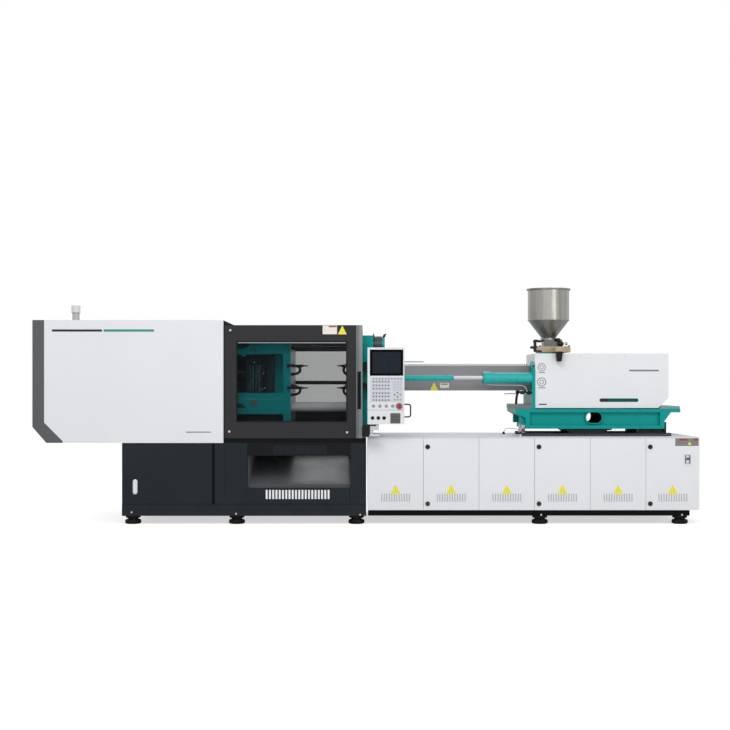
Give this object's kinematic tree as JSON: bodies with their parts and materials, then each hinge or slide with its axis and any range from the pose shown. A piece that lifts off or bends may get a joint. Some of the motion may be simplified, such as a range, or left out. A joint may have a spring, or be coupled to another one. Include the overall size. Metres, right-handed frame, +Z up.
{
  "type": "injection moulding machine",
  "caption": "Horizontal two-platen injection moulding machine with sliding guard doors, injection carriage, hopper and operator panel.",
  "frame": {"origin": "on the floor under the middle of the machine's outline", "axes": "+X from the clamp end to the injection end, -Y the operator's side, +Z up"},
  "size_m": [8.812, 2.09, 3.173],
  "materials": {
    "teal_paint": "semi-gloss",
    "white_paint": "fine texture, satin",
    "dark_paint": "fine texture, satin",
    "door_paint": "fine texture, satin",
    "trim_paint": "satin",
    "grey_paint": "satin",
    "cream_paint": "satin",
    "stainless": "brushed",
    "chrome_rod": "polished",
    "bright_steel": "ground",
    "dark_steel": "oiled",
    "sheet_zinc": "dull",
    "clear_window": "clear",
    "black_hose": "matt",
    "black_plastic": "matt",
    "red_plastic": "gloss",
    "pale_plastic": "satin",
    "grey_plastic": "satin",
    "foot_steel": "matt"
  },
  "bodies": {
    "frame": {"levelling_feet": "foot_steel", "clamp_base": "dark_paint", "drop_chute": "sheet_zinc", "clamp_front_guard": "white_paint", "clamp_rear_guard": "white_paint", "clamp_end_guard": "trim_paint", "signal_beacon": "pale_plastic", "door_frame": "door_paint", "fixed_platen": "teal_paint", "tie_bars": "chrome_rod", "clamp_cylinders": "dark_steel", "bed_rails": "bright_steel", "travel_cylinders": "dark_steel", "fixed_platen_hoses": "black_hose", "injection_base": "white_paint", "sensor_cable": "black_hose", "injection_rails": "bright_steel", "carriage_rods": "chrome_rod", "panel_arm": "trim_paint"},
    "front_sliding_door": {"front_door": "door_paint", "front_window": "clear_window"},
    "rear_sliding_door": {"rear_door": "door_paint"},
    "moving_half": {"moving_platen": "teal_paint", "platen_shoes": "dark_steel", "travel_rods": "chrome_rod", "ejector_cylinder": "dark_steel", "moving_platen_hoses": "black_hose"},
    "front_nuts": {"front_half_nuts": "dark_steel"},
    "rear_nuts": {"rear_half_nuts": "dark_steel"},
    "ejector_set": {"ejector": "bright_steel"},
    "carriage": {"slide_blocks": "dark_steel", "injection_beam": "teal_paint", "barrel_plate": "teal_paint", "injection_cover": "white_paint", "carriage_cylinders": "teal_paint", "barrel": "dark_steel", "heater_bands": "stainless", "nozzle": "bright_steel", "throat_block": "teal_paint", "injection_cylinders": "teal_paint", "hopper_seat": "cream_paint", "hopper": "stainless", "barrel_cover": "grey_paint"},
    "drive": {"thrust_unit": "dark_steel"},
    "plasticising_screw": {"screw": "bright_steel"},
    "gate": {"hopper_gate": "bright_steel"},
    "purge_hood": {"purge_guard": "grey_paint"},
    "panel": {"control_panel": "white_paint"},
    "stop_button": {"emergency_stop": "red_plastic"},
    "toggle": {"breaker_toggle": "black_plastic"},
    "button_1": {"push_button_1": "grey_plastic"},
    "button_2": {"push_button_2": "grey_plastic"},
    "button_3": {"push_button_3": "grey_plastic"},
    "button_4": {"push_button_4": "grey_plastic"},
    "cabinet_leaf_1": {"cabinet_door_1": "white_paint"},
    "cabinet_leaf_2": {"cabinet_door_2": "white_paint"},
    "cabinet_leaf_3": {"cabinet_door_3": "white_paint"},
    "cabinet_leaf_4": {"cabinet_door_4": "white_paint"},
    "cabinet_leaf_5": {"cabinet_door_5": "white_paint"},
    "cabinet_leaf_6": {"cabinet_door_6": "white_paint"}
  },
  "joints": [
    {"name": "platen_travel", "type": "slide", "parent": "frame", "child": "moving_half", "axis": [1, 0, 0], "range_m": [-0.48, 0.48]},
    {"name": "front_nut_lock", "type": "slide", "parent": "moving_half", "child": "front_nuts", "axis": [0, 1, 0], "range_m": [0, 0.03]},
    {"name": "rear_nut_lock", "type": "slide", "parent": "moving_half", "child": "rear_nuts", "axis": [0, -1, 0], "range_m": [0, 0.03]},
    {"name": "ejector_stroke", "type": "slide", "parent": "moving_half", "child": "ejector_set", "axis": [1, 0, 0], "range_m": [0, 0.15]},
    {"name": "front_door_slide", "type": "slide", "parent": "frame", "child": "front_sliding_door", "axis": [-1, 0, 0], "range_m": [0, 1.5]},
    {"name": "rear_door_slide", "type": "slide", "parent": "frame", "child": "rear_sliding_door", "axis": [-1, 0, 0], "range_m": [0, 1.5]},
    {"name": "carriage_travel", "type": "slide", "parent": "frame", "child": "carriage", "axis": [1, 0, 0], "range_m": [-0.34, 0.06]},
    {"name": "injection_stroke", "type": "slide", "parent": "carriage", "child": "drive", "axis": [1, 0, 0], "range_m": [0, 0.38]},
    {"name": "screw_turn", "type": "hinge", "parent": "drive", "child": "plasticising_screw", "pos_m": [3, 0.145, 1.958], "axis": [1, 0, 0], "continuous": true},
    {"name": "gate_slide", "type": "slide", "parent": "carriage", "child": "gate", "axis": [1, 0, 0], "range_m": [0, 0.13]},
    {"name": "purge_hood_lift", "type": "hinge", "parent": "frame", "child": "purge_hood", "pos_m": [0.0953, 0.145, 2.29], "axis": [0, -1, 0], "range_deg": [0, 80]},
    {"name": "panel_swing", "type": "hinge", "parent": "frame", "child": "panel", "pos_m": [0.06, -0.955, 1.3], "axis": [0, 0, -1], "range_deg": [0, 75]},
    {"name": "stop_press", "type": "slide", "parent": "panel", "child": "stop_button", "axis": [0, 1, 0], "range_m": [0, 0.008]},
    {"name": "button_1_press", "type": "slide", "parent": "panel", "child": "button_1", "axis": [0, 1, 0], "range_m": [0, 0.004], "stiffness_N_per_m": 600},
    {"name": "button_2_press", "type": "slide", "parent": "panel", "child": "button_2", "axis": [0, 1, 0], "range_m": [0, 0.004], "stiffness_N_per_m": 600},
    {"name": "button_3_press", "type": "slide", "parent": "panel", "child": "button_3", "axis": [0, 1, 0], "range_m": [0, 0.004], "stiffness_N_per_m": 600},
    {"name": "button_4_press", "type": "slide", "parent": "panel", "child": "button_4", "axis": [0, 1, 0], "range_m": [0, 0.004], "stiffness_N_per_m": 600},
    {"name": "cabinet_door_1_hinge", "type": "hinge", "parent": "frame", "child": "cabinet_leaf_1", "pos_m": [0.022, -0.735, 0.66], "axis": [0, 0, -1], "range_deg": [0, 85]},
    {"name": "cabinet_door_2_hinge", "type": "hinge", "parent": "frame", "child": "cabinet_leaf_2", "pos_m": [1.488, -0.735, 0.66], "axis": [0, 0, 1], "range_deg": [0, 85]},
    {"name": "cabinet_door_3_hinge", "type": "hinge", "parent": "frame", "child": "cabinet_leaf_3", "pos_m": [1.492, -0.735, 0.66], "axis": [0, 0, -1], "range_deg": [0, 85]},
    {"name": "cabinet_door_4_hinge", "type": "hinge", "parent": "frame", "child": "cabinet_leaf_4", "pos_m": [2.958, -0.735, 0.66], "axis": [0, 0, 1], "range_deg": [0, 85]},
    {"name": "cabinet_door_5_hinge", "type": "hinge", "parent": "frame", "child": "cabinet_leaf_5", "pos_m": [2.962, -0.735, 0.66], "axis": [0, 0, -1], "range_deg": [0, 85]},
    {"name": "cabinet_door_6_hinge", "type": "hinge", "parent": "frame", "child": "cabinet_leaf_6", "pos_m": [4.404, -0.735, 0.66], "axis": [0, 0, 1], "range_deg": [0, 85]},
    {"name": "breaker_throw", "type": "hinge", "parent": "cabinet_leaf_6", "child": "toggle", "pos_m": [4.2445, -0.737, 0.8625], "axis": [1, 0, 0], "range_deg": [0, 40]}
  ],
  "couplings": [
    {"joint": "rear_nut_lock", "follows": "front_nut_lock", "ratio": 1}
  ]
}
